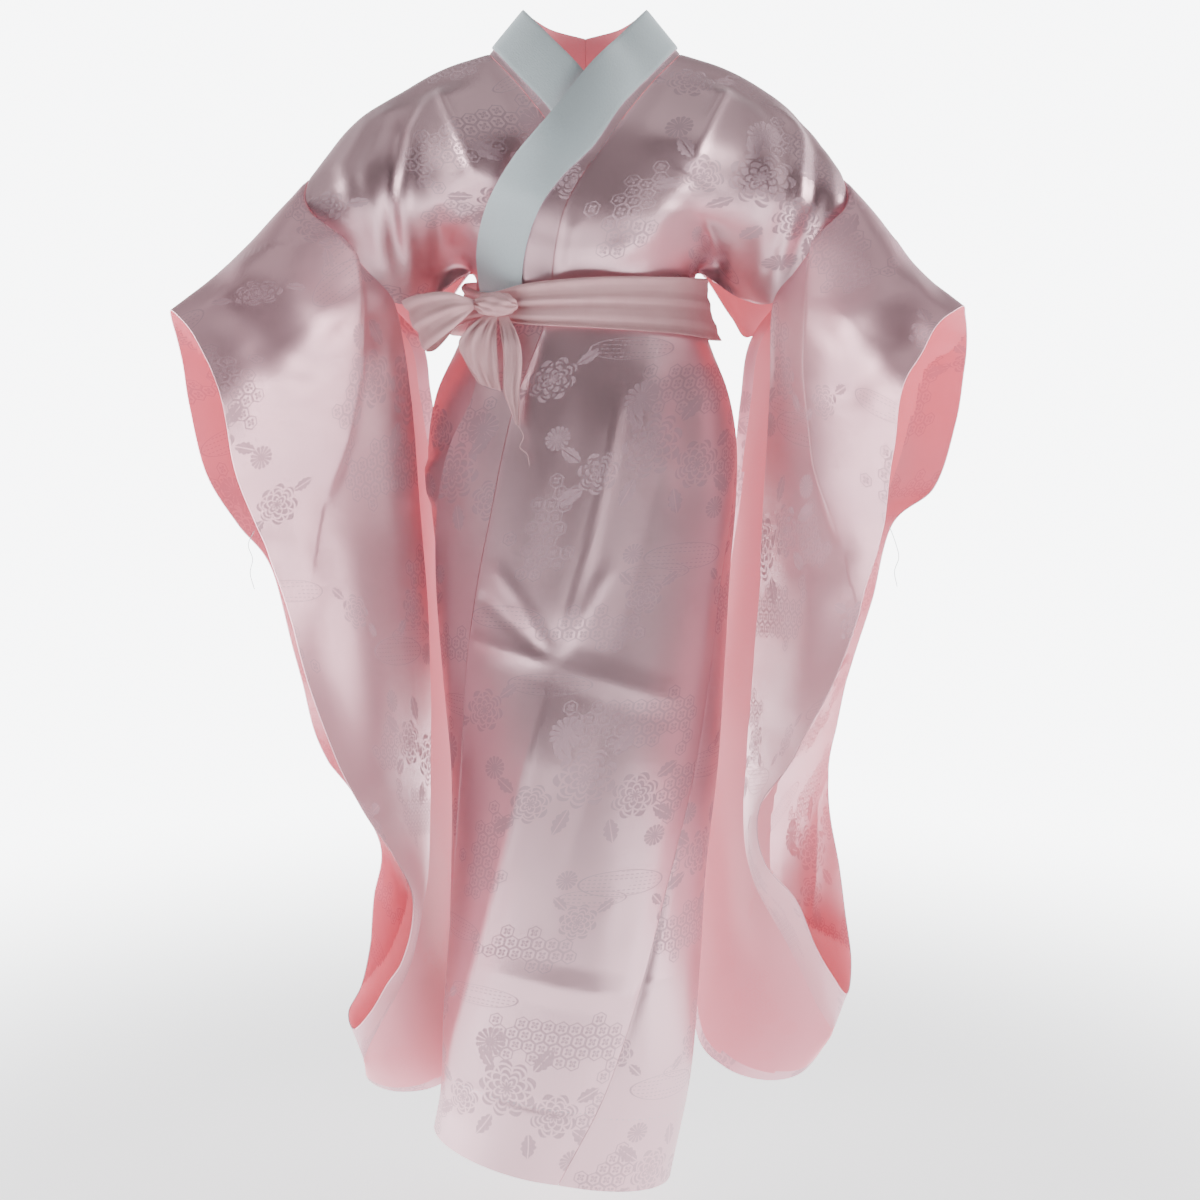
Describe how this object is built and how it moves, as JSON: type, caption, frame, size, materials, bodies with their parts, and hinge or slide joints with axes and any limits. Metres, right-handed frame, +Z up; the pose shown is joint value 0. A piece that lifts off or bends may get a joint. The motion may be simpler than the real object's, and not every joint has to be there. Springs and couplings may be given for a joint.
{
  "type": "nagajuban",
  "caption": "Long silk under-kimono for a furisode, with hanging open sleeves and a half-collar, wrapped left over right and tied with a soft belt.",
  "frame": {"origin": "middle of the neck at shoulder level, where the shoulders hold the garment up", "axes": "+Z up along the garment's length, +X to the wearer's left, -Y to the front"},
  "size_m": [0.8362, 0.3836, 1.3573],
  "materials": {
    "satin": "silk satin with a woven pattern",
    "crepe": "matte silk crepe",
    "gauze": "thin matte gauze"
  },
  "bodies": {
    "root": {"body_left": "satin", "body_right": "satin", "sleeve_left": "satin", "sleeve_right": "satin", "collar_left": "satin", "collar_right": "satin", "half_collar": "crepe", "belt_wrap": "gauze", "belt_loop": "gauze", "belt_short_tail": "gauze", "belt_long_tail": "gauze", "belt_knot": "gauze"}
  },
  "joints": []
}
